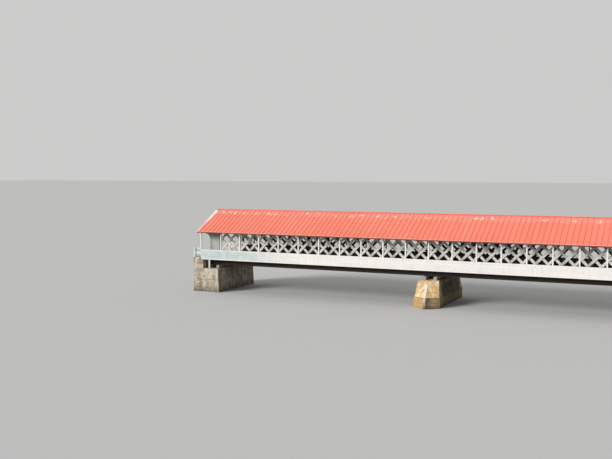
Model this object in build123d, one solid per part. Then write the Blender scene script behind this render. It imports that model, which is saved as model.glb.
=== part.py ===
from build123d import *
import math
import os

# Timber covered bridge of two spans on a stone pier, built at half size.
# X runs along the bridge, Y across it with the downstream side at -Y, Z is up.
# The origin is the centre of the pier's foot. All sizes are millimetres of the half-size model.

# Driving sizes along the bridge
bay = 1219.2
bays_per_half = 11
end_post_shift = 100.0
roof_past_last_bay = 188.0
truss_short_of_last_bay = 188.0

# Driving heights
pier_height = 1350.0
bed_timber_height = 175.0
lower_chord_depth = 322.0
skirt_over_chord = 3.0
skirt_height = 578.0
raising_plate_depth = 100.0
roof_pitch = 27.3

# Driving sizes across the bridge
truss_offset = 1344.5
post_offset = 1965.0
roof_half_width = 2320.0

# Lattice trusses
lattice_pitch = bay / 2
lattice_rows = 7
plank_width = 128.0
plank_thickness = 38.0
chord_depth = 144.0
chord_thickness = 60.0
plank_tail = 200.0
end_board_width = 140.0

# Floor
floor_beam_width = 60.0
floor_beam_depth = 100.0
stringer_width = 45.0
stringer_depth = 50.0
stringer_count = 7
deck_thickness = 40.0
walk_thickness = 25.0
side_gap = 3.0

# Posts, skirts and rails
post_size = 70.0
skirt_thickness = 15.0
rail_cap_width = 34.0
rail_cap_thickness = 15.0
rail_apron_depth = 75.0
rail_apron_thickness = 10.0
foot_board_depth = 60.0
foot_board_thickness = 9.0
prop_size = 90.0
prop_from_truss_end = 258.0

# Roof frame
plate_width = 76.0
plate_depth = 100.0
rafter_width = 40.0
rafter_depth = 70.0
tie_width = 75.0
tie_depth = 100.0
tie_past_truss = 40.0
brace_size = 60.0
brace_thickness = 50.0
raising_plate_width = 100.0
board_thickness = 12.0
metal_thickness = 6.0
rafter_setback = 22.0
board_setback = 10.0
ridge_cap_width = 155.0
ridge_cap_thickness = 5.0
barge_depth = 80.0
barge_thickness = 15.0
barge_joint = 1.6
rake_cap_width = 115.0
rake_cap_thickness = 7.0
fascia_depth = 62.0
fascia_thickness = 12.0

# Portals
gable_thickness = 14.0
gable_behind_barge = 34.0
portal_height = 1298.0
portal_rise = 265.0
panel_thickness = 12.0
panel_length = 630.0
flare_start = 1150.0
flare_radius = 300.0

# Masonry
pier_half_width = 584.0
pier_side_batter = 0.114
prow_reach = 2197.0
prow_batter = 0.76
prow_flat = 75.0
shoulder_reach = 2042.0
shoulder_batter = 0.254
pier_cap_height = 170.0
pier_cap_inset = 84.0
prow_cap_slope = 1.86
shoulder_cap_slope = 1.48
plinth_height = 550.0
plinth_step = 30.0
nosing_proud = 22.0
bed_timber_width = 175.0
bed_timber_spacing = 575.0
bed_timber_past_truss = 300.0
seat_in_front = 120.0
seat_behind = 110.0
abutment_batter = 0.06
abutment_half_width = 2080.0
backwall_length = 650.0

# Approach rails
approach_rail_height = 548.0
approach_post_size = 130.0
approach_post_setback = 20.0
approach_rail_setback = 45.0
approach_rail_thickness = 45.0
approach_top_rail_depth = 100.0
approach_low_rail_depth = 170.0
approach_rail_gap = 120.0
approach_reach = 405.0

# How far a cut runs past the face that it opens
cut_past = 1.0

# Sizes and levels worked out from the driving ones
truss_half_length = bays_per_half * bay - truss_short_of_last_bay
end_post_x = bays_per_half * bay + end_post_shift
roof_half_length = bays_per_half * bay + roof_past_last_bay
cap_level = pier_height - pier_cap_height
bearing_level = pier_height + bed_timber_height
lower_chord_top = bearing_level + lower_chord_depth
skirt_bottom = lower_chord_top + skirt_over_chord
bottom_row = lower_chord_top - chord_depth / 2
top_row = bottom_row + (lattice_rows - 1) * lattice_pitch / 2
top_chord_top = top_row + chord_depth / 2
floor_beam_top = lower_chord_top + floor_beam_depth
deck_bottom = floor_beam_top + stringer_depth
deck_top = deck_bottom + deck_thickness
walk_top = floor_beam_top + walk_thickness
skirt_top = skirt_bottom + skirt_height
springing = deck_top + portal_height
tie_top = top_chord_top + tie_depth
roof_slope = math.tan(math.radians(roof_pitch))
plumb = math.hypot(1, roof_slope)
roof_thickness = metal_thickness + board_thickness + rafter_depth
ridge = tie_top + raising_plate_depth + roof_slope * truss_offset + roof_thickness * plumb
chord_face = truss_offset - plank_thickness - chord_thickness
chord_back = truss_offset + plank_thickness + chord_thickness
panel_face = chord_face - panel_thickness
panel_back = chord_back + panel_thickness
gable_face = roof_half_length - gable_behind_barge
bed_reach = chord_back + bed_timber_past_truss
outer_bed_x = truss_half_length - bed_timber_width / 2
inner_bed_x = outer_bed_x - bed_timber_spacing
seat_front = inner_bed_x - bed_timber_width / 2 - seat_in_front
backwall_front = truss_half_length + seat_behind
backwall_back = backwall_front + backwall_length
end_beam_back = end_post_x + floor_beam_width / 2
approach_start = end_post_x + post_size / 2 + side_gap


def block(x0, x1, y0, y1, z0, z1):
    return Pos((x0 + x1) / 2, (y0 + y1) / 2, (z0 + z1) / 2) * Box(x1 - x0, y1 - y0, z1 - z0)


def along_bridge(outline, x0, x1):
    # an outline of (y, z) points, drawn out along X
    face = make_face(Polyline(*[(x0, y, z) for y, z in outline], close=True))
    return extrude(face, amount=x1 - x0, dir=(1, 0, 0))


def across_bridge(outline, y0, y1):
    # an outline of (x, z) points, drawn out along Y
    face = make_face(Polyline(*[(x, y0, z) for x, z in outline], close=True))
    return extrude(face, amount=y1 - y0, dir=(0, 1, 0))


def roof_level(y, depth=0.0):
    # height of the plane that lies this deep under the roof's outer face, square to the slope
    return ridge - roof_slope * abs(y) - depth * plumb


def other_side(shape):
    return mirror(shape, about=Plane.XZ)


def other_end(shape):
    return mirror(shape, about=Plane.YZ)


def save(name, *shapes):
    solids = [solid for shape in shapes for solid in shape.solids()]
    piece = Compound(children=solids) if len(solids) > 1 else solids[0]
    export_step(piece, f"parts/{name}.step")


def save_sides(name, make):
    # the piece on the downstream side and its mirror image on the other
    front = make()
    save("front_" + name, *front)
    save("back_" + name, *[other_side(shape) for shape in front])


# Pier with a battered cutwater at each end and a sloping cap over both
def pier_ring(level, spread=0.0):
    above = max(0.0, level - cap_level)
    depth = max(0.0, cap_level - level)
    half_width = pier_half_width + pier_side_batter * depth - pier_cap_inset * above / pier_cap_height + spread
    nose = prow_reach + prow_batter * depth - prow_cap_slope * above + spread
    shoulder = shoulder_reach + shoulder_batter * depth - shoulder_cap_slope * above + spread
    corners = [(half_width, shoulder), (prow_flat, nose), (-prow_flat, nose), (-half_width, shoulder)]
    ring = [(x, y) for x, y in corners] + [(-x, -y) for x, y in corners]
    return make_face(Polyline(*[(x, y, level) for x, y in ring], close=True))


def pier():
    shaft = loft([pier_ring(plinth_height), pier_ring(cap_level)], ruled=True)
    cap = loft([pier_ring(cap_level), pier_ring(pier_height)], ruled=True)
    return shaft + cap


def pier_plinth():
    # the plinth's sides stand plumb under the battered shaft
    ring = pier_ring(plinth_height, plinth_step)
    return extrude(ring, amount=plinth_height, dir=(0, 0, -1))


def pier_nosings():
    # a steel nosing lies on the raking flat of each cutwater, up to the cap
    foot = prow_reach + prow_batter * (cap_level - plinth_height)
    outline = [
        (-prow_reach, cap_level),
        (-foot, plinth_height),
        (-foot - nosing_proud, plinth_height),
        (-prow_reach - nosing_proud, cap_level),
    ]
    front = along_bridge(outline, -prow_flat, prow_flat)
    return front, other_side(front)


# Abutments, each one mass of stone with a bridge seat and a backwall up to the road
def abutment():
    foot_front = seat_front - abutment_batter * pier_height
    outline = [
        (foot_front, 0),
        (seat_front, pier_height),
        (backwall_front, pier_height),
        (backwall_front, lower_chord_top),
        (approach_start, lower_chord_top),
        (approach_start, deck_top),
        (backwall_back, deck_top),
        (backwall_back, 0),
    ]
    mass = across_bridge(outline, -abutment_half_width, abutment_half_width)
    for side in (-1, 1):
        inner, outer = sorted((side * chord_back, side * (abutment_half_width + cut_past)))
        mass -= block(approach_start - cut_past, backwall_back + cut_past,
                      inner, outer, walk_top, deck_top + cut_past)
    return mass


def bed_timbers():
    places = [bed_timber_spacing / 2, inner_bed_x, outer_bed_x]
    for x in [side * place for place in places for side in (-1, 1)]:
        yield block(x - bed_timber_width / 2, x + bed_timber_width / 2,
                    -bed_reach, bed_reach, pier_height, bearing_level)


# Lattice web: two layers of planks at 45 degrees, pinned where they cross
def lattice_layer(lean):
    low = bottom_row - plank_tail
    high = top_chord_top
    window = Pos(0, (low + high) / 2) * Rectangle(2 * truss_half_length, high - low)
    reach = high - low
    last = math.ceil((truss_half_length + reach) / lattice_pitch)
    half_step = 0.5  # the bottom row crosses midway between the posts
    planks = [
        Pos((step + half_step) * lattice_pitch, bottom_row) * Rot(0, 0, 45 * lean)
        * Rectangle(4 * reach, plank_width)
        for step in range(-last, last + 1)
    ]
    layer = (Sketch() + planks) & window
    for side in (-1, 1):
        x = side * (truss_half_length - end_board_width / 2)
        layer += Pos(x, (low + high) / 2) * Rectangle(end_board_width, high - low)
    return layer


def lattice():
    stand = Plane((0, -truss_offset, 0), x_dir=(1, 0, 0), z_dir=(0, -1, 0))
    outer = extrude(stand * lattice_layer(1), amount=plank_thickness)
    inner = extrude(stand * lattice_layer(-1), amount=-plank_thickness)
    return [outer + inner]


def chord_pair(low, high):
    for near in (truss_offset + plank_thickness, truss_offset - plank_thickness - chord_thickness):
        yield block(-truss_half_length, truss_half_length, -near - chord_thickness, -near, low, high)


def lower_chords():
    second_row = bottom_row + lattice_pitch / 2
    pairs = [(bearing_level, lower_chord_top), (second_row - chord_depth / 2, second_row + chord_depth / 2)]
    return [beam for low, high in pairs for beam in chord_pair(low, high)]


def upper_chords():
    return list(chord_pair(top_row - chord_depth / 2, top_chord_top))


# Floor: beams through the lattice carry the road and both footways
def floor_beams():
    last = math.floor((truss_half_length - end_board_width) / lattice_pitch)
    places = [step * lattice_pitch for step in range(-last, last + 1)] + [-end_post_x, end_post_x]
    reach = post_offset + post_size / 2
    for x in places:
        yield block(x - floor_beam_width / 2, x + floor_beam_width / 2,
                    -reach, reach, lower_chord_top, floor_beam_top)


def road_half_width():
    return panel_face - side_gap


def road_stringers():
    edge = road_half_width() - stringer_width / 2
    for step in range(stringer_count):
        y = -edge + 2 * edge * step / (stringer_count - 1)
        yield block(-end_beam_back, end_beam_back, y - stringer_width / 2, y + stringer_width / 2,
                    floor_beam_top, deck_bottom)


def road_deck():
    edge = road_half_width()
    return block(-end_beam_back, end_beam_back, -edge, edge, deck_bottom, deck_top)


def sidewalk_deck():
    inner = panel_back + side_gap
    outer = post_offset - post_size / 2 - side_gap
    return [block(-end_beam_back, end_beam_back, -outer, -inner, floor_beam_top, walk_top)]


# Outer line of posts with the boarded skirt and its rail
def post_places():
    inner = [step * bay for step in range(1 - bays_per_half, bays_per_half)]
    return [-end_post_x] + inner + [end_post_x]


def posts():
    half = post_size / 2
    top = roof_level(post_offset, roof_thickness) - plate_depth
    return [
        block(x - half, x + half, -post_offset - half, -post_offset + half, floor_beam_top, top)
        for x in post_places()
    ]


def skirt():
    # boards nailed to the posts, with a foot board along the bottom edge
    face = post_offset + post_size / 2
    front = face + skirt_thickness
    foot_top = skirt_bottom + foot_board_depth
    outline = [
        (-face, skirt_top - rail_cap_thickness),
        (-face, skirt_bottom),
        (-front - foot_board_thickness, skirt_bottom),
        (-front - foot_board_thickness, foot_top),
        (-front, foot_top),
        (-front, skirt_top - rail_cap_thickness),
    ]
    end = end_post_x + post_size / 2
    return [along_bridge(outline, -end, end)]


def handrail():
    face = post_offset + post_size / 2
    front = face + skirt_thickness
    under = skirt_top - rail_cap_thickness
    outline = [
        (-face, skirt_top),
        (-face, under),
        (-front, under),
        (-front, under - rail_apron_depth),
        (-front - rail_apron_thickness, under - rail_apron_depth),
        (-front - rail_apron_thickness, under),
        (-face - rail_cap_width, under),
        (-face - rail_cap_width, skirt_top),
    ]
    end = end_post_x + post_size / 2
    return [along_bridge(outline, -end, end)]


def sidewalk_props():
    half = prop_size / 2
    face = post_offset + post_size / 2
    place = truss_half_length - prop_from_truss_end
    for x in (-place, place):
        yield block(x - half, x + half, -face, -face + prop_size, pier_height, floor_beam_top)


def approach_rails():
    # rails from the bridge's end post to a post beside the abutment's edge
    start = end_post_x + post_size / 2
    end = end_post_x + approach_reach
    outer = -abutment_half_width + approach_post_setback
    near_front = -post_offset - post_size / 2 - skirt_thickness
    far_front = outer + approach_rail_setback
    top = walk_top + approach_rail_height
    rail = block(end - approach_post_size / 2, end + approach_post_size / 2,
                 outer, outer + approach_post_size, walk_top, top)
    low_rail_top = top - approach_top_rail_depth - approach_rail_gap
    for level, depth in ((top, approach_top_rail_depth), (low_rail_top, approach_low_rail_depth)):
        foot = level - depth
        plan = [(start, near_front), (end, far_front),
                (end, far_front + approach_rail_thickness), (start, near_front + approach_rail_thickness)]
        outline = make_face(Polyline(*[(x, y, foot) for x, y in plan], close=True))
        rail += extrude(outline, amount=depth, dir=(0, 0, 1))
    return [rail, other_end(rail)]


# Roof frame
def sloped_plate(offset, width, foot):
    # the plate's top is bevelled to the underside of the rafters
    inner = offset - width / 2
    outer = offset + width / 2
    outline = [
        (-inner, foot),
        (-outer, foot),
        (-outer, roof_level(outer, roof_thickness)),
        (-inner, roof_level(inner, roof_thickness)),
    ]
    end = gable_face - rafter_width
    return along_bridge(outline, -end, end)


def eave_plate():
    foot = roof_level(post_offset, roof_thickness) - plate_depth
    return [sloped_plate(post_offset, plate_width, foot)]


def raising_plate():
    return sloped_plate(truss_offset, raising_plate_width, tie_top)


def tie_places():
    inner = [step * bay for step in range(1 - bays_per_half, bays_per_half)]
    end = truss_half_length - tie_width / 2
    return [-end] + inner + [end]


def tie_beams():
    reach = chord_back + tie_past_truss
    for x in tie_places():
        yield block(x - tie_width / 2, x + tie_width / 2, -reach, reach, top_chord_top, tie_top)


def knee_braces():
    # each brace rises at 45 degrees from a crossing of the lattice to the tie beam
    foot_y = truss_offset - plank_thickness
    foot_z = top_row - lattice_pitch / 2
    rise = top_chord_top - foot_z
    half = brace_size / math.sqrt(2)
    outline = [
        (-foot_y, foot_z - half),
        (-foot_y, foot_z + half),
        (-foot_y + rise - half, top_chord_top),
        (-foot_y + rise + half, top_chord_top),
    ]
    for x in tie_places()[1:-1]:
        brace = along_bridge(outline, x - brace_thickness / 2, x + brace_thickness / 2)
        yield brace
        yield other_side(brace)


def rafter_places():
    last = math.floor(truss_half_length / lattice_pitch)
    inner = [step * lattice_pitch for step in range(-last, last + 1)]
    end = gable_face - rafter_width / 2
    return [-end] + inner + [end]


def slope_layer(y_low, upper_depth, lower_depth, x0, x1):
    outline = [
        (0, roof_level(0, upper_depth)),
        (-y_low, roof_level(y_low, upper_depth)),
        (-y_low, roof_level(y_low, lower_depth)),
        (0, roof_level(0, lower_depth)),
    ]
    return along_bridge(outline, x0, x1)


def rafters():
    upper = metal_thickness + board_thickness
    tail = roof_half_width - rafter_setback
    half = rafter_width / 2
    return [slope_layer(tail, upper, roof_thickness, x - half, x + half) for x in rafter_places()]


def roof_boards():
    end = roof_half_length - barge_thickness
    lower = metal_thickness + board_thickness
    return [slope_layer(roof_half_width - board_setback, metal_thickness, lower, -end, end)]


def metal_roof():
    end = roof_half_length - barge_thickness
    return [slope_layer(roof_half_width, 0, metal_thickness, -end, end)]


def fascias():
    # the fascia closes the rafter tails under the eave
    tail = roof_half_width - rafter_setback
    top = roof_level(tail + fascia_thickness, metal_thickness + board_thickness)
    end = roof_half_length - barge_thickness
    front = block(-end, end, -tail - fascia_thickness, -tail, top - fascia_depth, top)
    return [front, other_side(front)]


def ridge_cap():
    y = ridge_cap_width
    outline = [
        (0, roof_level(0)),
        (-y, roof_level(y)),
        (-y, roof_level(y, -ridge_cap_thickness)),
        (0, roof_level(0, -ridge_cap_thickness)),
        (y, roof_level(y, -ridge_cap_thickness)),
        (y, roof_level(y)),
    ]
    return along_bridge(outline, -roof_half_length, roof_half_length)


# Portals
def gable():
    depth = metal_thickness + board_thickness
    side = post_offset + post_size / 2
    outline = [
        (0, roof_level(0, depth)),
        (-side, roof_level(side, depth)),
        (-side, springing),
        (side, springing),
        (side, roof_level(side, depth)),
    ]
    wall = along_bridge(outline, gable_face, gable_face + gable_thickness)
    arch_plane = Plane((gable_face, 0, springing), x_dir=(0, 1, 0), z_dir=(1, 0, 0))
    arch = extrude(arch_plane * Ellipse(panel_face, portal_rise), amount=gable_thickness)
    return wall - arch


def barge_boards():
    # two boards that meet at the ridge with a hair of room, each with a cap over the metal's edge
    start = roof_half_length - barge_thickness
    cap_start = roof_half_length - rake_cap_width
    cap_top = ridge_cap_width + barge_joint
    board = slope_layer(roof_half_width, 0, barge_depth, start, roof_half_length)
    board -= block(start, roof_half_length, -barge_joint / 2, barge_joint / 2, skirt_top, 2 * ridge)
    cap = slope_layer(roof_half_width, -rake_cap_thickness, 0, cap_start, roof_half_length)
    cap -= block(cap_start, roof_half_length, -cap_top, cap_top, skirt_top, 2 * ridge)
    board += cap
    return [board, other_side(board)]


def end_panel():
    # boards on both faces of the truss end, flared out to the gable over a quarter circle
    outer = truss_half_length + panel_thickness
    inner = truss_half_length - panel_length
    foot = floor_beam_top
    top = top_chord_top
    low = skirt_bottom + flare_start
    lines = Line((inner, foot), (outer, foot)) + Line((outer, foot), (outer, low))
    curve = ThreePointArc(
        (outer, low),
        (outer + flare_radius * (1 - math.sqrt(0.5)), low + flare_radius * math.sqrt(0.5)),
        (outer + flare_radius, low + flare_radius),
    )
    reach = outer + flare_radius
    rest = Polyline((reach, low + flare_radius), (reach, top), (inner, top), (inner, foot))
    face = make_face(lines + curve + rest)
    stand = Plane((0, -panel_face, 0), x_dir=(1, 0, 0), z_dir=(0, -1, 0))
    box = extrude(stand * face, amount=panel_back - panel_face)
    hollow = block(inner - cut_past, truss_half_length, -chord_back, -chord_face,
                   foot - cut_past, top + cut_past)
    return box - hollow


os.makedirs("parts", exist_ok=True)

save("pier", pier())
save("pier_plinth", pier_plinth())
save("pier_nosings", *pier_nosings())
save("right_abutment", abutment())
save("left_abutment", other_end(abutment()))
save("bed_timbers", *bed_timbers())

save_sides("lattice", lattice)
save_sides("lower_chords", lower_chords)
save_sides("upper_chords", upper_chords)

save("floor_beams", *floor_beams())
save("road_stringers", *road_stringers())
save("road_deck", road_deck())
save_sides("sidewalk_deck", sidewalk_deck)

save_sides("posts", posts)
save_sides("skirt", skirt)
save_sides("handrail", handrail)
props = list(sidewalk_props())
save("sidewalk_props", *props, *[other_side(prop) for prop in props])
rails = approach_rails()
save("approach_rails", *rails, *[other_side(rail) for rail in rails])

save_sides("eave_plate", eave_plate)
plate = raising_plate()
save("raising_plates", plate, other_side(plate))
save("tie_beams", *tie_beams())
save("knee_braces", *knee_braces())
save_sides("rafters", rafters)
save_sides("roof_boards", roof_boards)
save_sides("metal_roof", metal_roof)
save("fascias", *fascias())
save("ridge_cap", ridge_cap())

save("right_gable", gable())
save("left_gable", other_end(gable()))
boards = barge_boards()
save("right_barge_boards", *boards)
save("left_barge_boards", *[other_end(board) for board in boards])
panel = end_panel()
save("front_right_end_panel", panel)
save("front_left_end_panel", other_end(panel))
save("back_right_end_panel", other_side(panel))
save("back_left_end_panel", other_side(other_end(panel)))
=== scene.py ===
import math
import random

import bmesh
import bpy
from mathutils import Matrix, Vector, noise


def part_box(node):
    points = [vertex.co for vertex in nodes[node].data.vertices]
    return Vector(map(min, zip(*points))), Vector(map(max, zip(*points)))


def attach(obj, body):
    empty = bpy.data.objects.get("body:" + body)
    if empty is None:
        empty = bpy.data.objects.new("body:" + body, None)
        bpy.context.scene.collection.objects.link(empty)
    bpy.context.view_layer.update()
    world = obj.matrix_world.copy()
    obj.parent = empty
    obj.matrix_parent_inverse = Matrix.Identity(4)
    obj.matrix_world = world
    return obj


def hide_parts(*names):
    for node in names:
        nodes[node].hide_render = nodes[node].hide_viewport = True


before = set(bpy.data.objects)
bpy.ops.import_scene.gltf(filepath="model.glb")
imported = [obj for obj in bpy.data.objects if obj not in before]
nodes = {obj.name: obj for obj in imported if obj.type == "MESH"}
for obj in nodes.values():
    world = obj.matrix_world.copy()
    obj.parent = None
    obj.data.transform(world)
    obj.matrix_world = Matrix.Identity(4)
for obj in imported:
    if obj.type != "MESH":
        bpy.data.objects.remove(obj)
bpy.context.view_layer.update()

# Looks for the half-size covered lattice bridge: X along it, the photo's side at -Y, Z up, metres.
# Timber that is laid board by board, seams, pins and stones are added to the CAD frame here.

chance = random.Random(11)
sides = {"front": -1, "back": 1}
ends = {"left": -1, "right": 1}

bridge = {
    "latticePitch": 0.6096,  # crossing to crossing in a row
    "latticeRows": 7,
    "trussOffset": 1.3445,
    "plank": 0.038,
    "chord": 0.060,
    "roofPitch": 27.3,
    "seamPitch": 0.2667,
    "seamCount": 101,
    "letIn": 0.001,  # how far added trim goes into what carries it
}
roofLow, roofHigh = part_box("front_metal_roof")
deckLow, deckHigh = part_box("road_deck")
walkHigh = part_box("front_sidewalk_deck")[1]
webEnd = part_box("front_lattice")[1].x
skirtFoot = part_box("front_skirt")[0].z
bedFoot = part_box("bed_timbers")[0].z
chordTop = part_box("floor_beams")[0].z
pitchAngle = math.radians(bridge["roofPitch"])
slopeLength = -roofLow.y / math.cos(pitchAngle)
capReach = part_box("ridge_cap")[1].y / math.cos(pitchAngle)
chordBack = bridge["trussOffset"] + bridge["plank"] + bridge["chord"]


# Mesh helpers
def newMesh():
    bm = bmesh.new()
    bm.faces.layers.float.new("boardTone")
    return bm


def setTone(bm, faces, tone):
    layer = bm.faces.layers.float["boardTone"]
    for face in faces:
        face[layer] = tone


def addBlock(bm, corner, opposite, place=Matrix.Identity(4), tone=None):
    low, high = Vector(map(min, corner, opposite)), Vector(map(max, corner, opposite))
    shape = Matrix.Translation((low + high) / 2) @ Matrix.Diagonal((*(high - low), 1))
    made = bmesh.ops.create_cube(bm, size=1, matrix=place @ shape)
    faces = {face for vert in made["verts"] for face in vert.link_faces}
    setTone(bm, faces, chance.random() if tone is None else tone)


def boardRuns(low, high, length, row, turns=2, shortest=0.05):
    # both ends of each board of a row, with the joints shifted from row to row
    start = low - (row % turns) * length / turns
    while start < high:
        x0, x1 = max(start, low), min(start + length, high)
        if x1 - x0 > shortest:
            yield x0, x1
        start += length


def easeEdges(bm, ease, segments=1):
    sharp = [edge for edge in bm.edges
             if len(edge.link_faces) == 2 and edge.calc_face_angle(0) > 0.5]
    bmesh.ops.bevel(bm, geom=sharp, offset=ease, segments=segments, profile=0.5,
                    affect="EDGES", material=-1, clamp_overlap=True)


def cutThrough(bm, point, normal, **more):
    bmesh.ops.bisect_plane(bm, geom=bm.verts[:] + bm.edges[:] + bm.faces[:],
                           plane_co=point, plane_no=normal, **more)


def newObject(name, data):
    made = bpy.data.objects.new(name, data)
    bpy.context.collection.objects.link(made)
    return made


def makePiece(name, bm, material, replaces=()):
    bmesh.ops.recalc_face_normals(bm, faces=bm.faces[:])
    mesh = bpy.data.meshes.new(name)
    bm.to_mesh(mesh)
    bm.free()
    mesh.materials.append(material)
    piece = newObject(name, mesh)
    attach(piece, "root")
    if replaces:
        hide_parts(*replaces)
    return piece


def repeatAlong(piece, count, step):
    array = piece.modifiers.new("repeat", "ARRAY")
    array.use_relative_offset = False
    array.use_constant_offset = True
    array.constant_offset_displace = (step, 0, 0)
    array.count = count


def mergedCopy(node):
    bm = newMesh()
    bm.from_mesh(nodes[node].data)
    bmesh.ops.remove_doubles(bm, verts=bm.verts[:], dist=1e-5)
    bmesh.ops.dissolve_limit(bm, angle_limit=0.01, verts=bm.verts[:], edges=bm.edges[:])
    return bm


def onSlope(side):
    # X along the ridge, Y down the slope from the ridge, Z out of the metal
    down = Vector((0, side * math.cos(pitchAngle), -math.sin(pitchAngle)))
    out = Vector((0, side * math.sin(pitchAngle), math.cos(pitchAngle)))
    place = Matrix((Vector((1, 0, 0)), down, out)).transposed().to_4x4()
    return Matrix.Translation((0, 0, roofHigh.z)) @ place


# Shader helpers
def put(tree, kind, values=None, **settings):
    node = tree.nodes.new("ShaderNode" + kind)
    for key, value in settings.items():
        setattr(node, key, value)
    for key, value in (values or {}).items():
        if isinstance(value, bpy.types.NodeSocket):
            tree.links.new(value, node.inputs[key])
        else:
            node.inputs[key].default_value = value
    return node


def work(tree, how, *values):
    return put(tree, "Math", dict(enumerate(values)), operation=how).outputs[0]


def times(tree, value, *factors):
    for factor in factors:
        value = work(tree, "MULTIPLY", value, factor)
    return value


def plus(tree, value, *others):
    for other in others:
        value = work(tree, "ADD", value, other)
    return value


def minus(tree, value, other):
    return work(tree, "SUBTRACT", value, other)


def absolute(tree, value):
    return work(tree, "ABSOLUTE", value)


def weigh(tree, *parts):
    # the sum of some values, each given with its weight
    return plus(tree, *[times(tree, *part) for part in parts])


def span(tree, value, low, high, toLow=0.0, toHigh=1.0, kind="LINEAR"):
    return put(tree, "MapRange", {"Value": value, "From Min": low, "From Max": high,
                                  "To Min": toLow, "To Max": toHigh},
               interpolation_type=kind).outputs["Result"]


def split(tree, vector):
    return put(tree, "SeparateXYZ", {0: vector}).outputs


def join(tree, *parts):
    return put(tree, "CombineXYZ", dict(enumerate(parts))).outputs[0]


def stretch(tree, vector, *scales):
    return put(tree, "VectorMath", {0: vector, 1: join(tree, *scales)}, operation="MULTIPLY").outputs[0]


def addNoise(tree, vector, scale, detail, rough, distortion=0.0):
    return put(tree, "TexNoise", {"Vector": vector, "Scale": scale, "Detail": detail,
                                  "Roughness": rough, "Distortion": distortion}).outputs[0]


def blendColour(tree, amount, first, second, how="MIX"):
    first, second = [(*colour, 1) if isinstance(colour, tuple) else colour for colour in (first, second)]
    return put(tree, "Mix", {0: amount, 6: first, 7: second},
               data_type="RGBA", blend_type=how).outputs[2]


def layCoats(tree, colour, *coats):
    # each coat is how much of it lies there and its colour
    for amount, coat in coats:
        colour = blendColour(tree, amount, colour, coat)
    return colour


def newGroup(name, takes, gives=("Mask",)):
    group = bpy.data.node_groups.new(name, "ShaderNodeTree")
    for way, labels in (("INPUT", takes), ("OUTPUT", gives)):
        for label in labels:
            kind = "NodeSocketVector" if label == "Vector" else "NodeSocketFloat"
            group.interface.new_socket(name=label, in_out=way, socket_type=kind)
    return group, group.nodes.new("NodeGroupInput").outputs


def finishGroup(tree, **results):
    given = tree.nodes.new("NodeGroupOutput").inputs
    for label, value in results.items():
        tree.links.new(value, given[label])
    return tree


def makeGrain():
    tree, given = newGroup("plank grain", ("Vector", "Along", "Across"))
    stretched = stretch(tree, given["Vector"], given["Along"], given["Across"], given["Across"])
    fibres = addNoise(tree, stretched, 1.0, 5.0, 0.65, 0.3)
    return finishGroup(tree, Mask=span(tree, fibres, 0.3, 0.7))


def makeStreaks():
    tree, given = newGroup("rain streaks", ("Vector", "Width", "Length"))
    stretched = stretch(tree, given["Vector"], given["Width"], given["Width"], given["Length"])
    runs = addNoise(tree, stretched, 1.0, 4.0, 0.6)
    return finishGroup(tree, Mask=span(tree, runs, 0.48, 0.72, kind="SMOOTHSTEP"))


def makeMottle():
    tree, given = newGroup("mottle", ("Vector", "Scale"))
    broad = addNoise(tree, given["Vector"], given["Scale"], 5.0, 0.6)
    small = addNoise(tree, given["Vector"], times(tree, given["Scale"], 4.3), 4.0, 0.65)
    return finishGroup(tree, Mask=span(tree, weigh(tree, (broad, 0.6), (small, 0.4)), 0.36, 0.64))


def makeHeightFade():
    tree, given = newGroup("height fade", ("Vector", "Full", "Gone"))
    height = split(tree, given["Vector"])[2]
    return finishGroup(tree, Mask=span(tree, height, given["Gone"], given["Full"], kind="SMOOTHSTEP"))


def makeBoardLines():
    tree, given = newGroup("board lines", ("Position", "Pitch", "Gap"), ("Line", "Tone"))
    cell = work(tree, "DIVIDE", given["Position"], given["Pitch"])
    number = work(tree, "FLOOR", cell)
    fromMiddle = absolute(tree, minus(tree, minus(tree, cell, number), 0.5))
    toLine = times(tree, minus(tree, 0.5, fromMiddle), given["Pitch"])
    line = span(tree, toLine, given["Gap"], times(tree, given["Gap"], 0.5))
    tone = put(tree, "TexWhiteNoise", {"W": number}, noise_dimensions="1D").outputs[0]
    return finishGroup(tree, Line=line, Tone=tone)


grainGroup = makeGrain()
streakGroup = makeStreaks()
mottleGroup = makeMottle()
fadeGroup = makeHeightFade()
lineGroup = makeBoardLines()
print("shader groups ready")


def use(tree, group, **values):
    return put(tree, "Group", values, node_tree=group).outputs


def grained(tree, vector, grain):
    return use(tree, grainGroup, Vector=vector, Along=grain[0], Across=grain[1])["Mask"]


def streaked(tree, vector, streak):
    return use(tree, streakGroup, Vector=vector, Width=streak[0], Length=streak[1])["Mask"]


def mottled(tree, vector, scale):
    return use(tree, mottleGroup, Vector=vector, Scale=scale)["Mask"]


def fadedUp(tree, vector, full, gone):
    return use(tree, fadeGroup, Vector=vector, Full=full, Gone=gone)["Mask"]


def boardTone(tree):
    return put(tree, "Attribute", attribute_name="boardTone").outputs["Fac"]


def facing(tree):
    return split(tree, put(tree, "TexCoord").outputs["Normal"])


def alongAxis(tree, place, axis):
    # turns the coordinates so that the first one runs along the grain
    parts = split(tree, place)
    return join(tree, *[parts[part] for part in {"x": (0, 1, 2), "y": (1, 0, 2), "z": (2, 0, 1)}[axis]])


def newMaterial(name, slotName):
    material = bpy.data.materials.new(name)
    material.use_nodes = True
    material["slotName"] = slotName
    tree = material.node_tree
    return material, tree, put(tree, "TexCoord").outputs["Object"]


def finishMaterial(material, colour, rough, height, relief, strength=1.0):
    tree = material.node_tree
    bump = put(tree, "Bump", {"Height": height, "Distance": relief, "Strength": strength})
    shader = tree.nodes["Principled BSDF"]
    for label, value in (("Base Color", colour), ("Roughness", rough), ("Normal", bump.outputs[0])):
        tree.links.new(value, shader.inputs[label])
    return material


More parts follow.
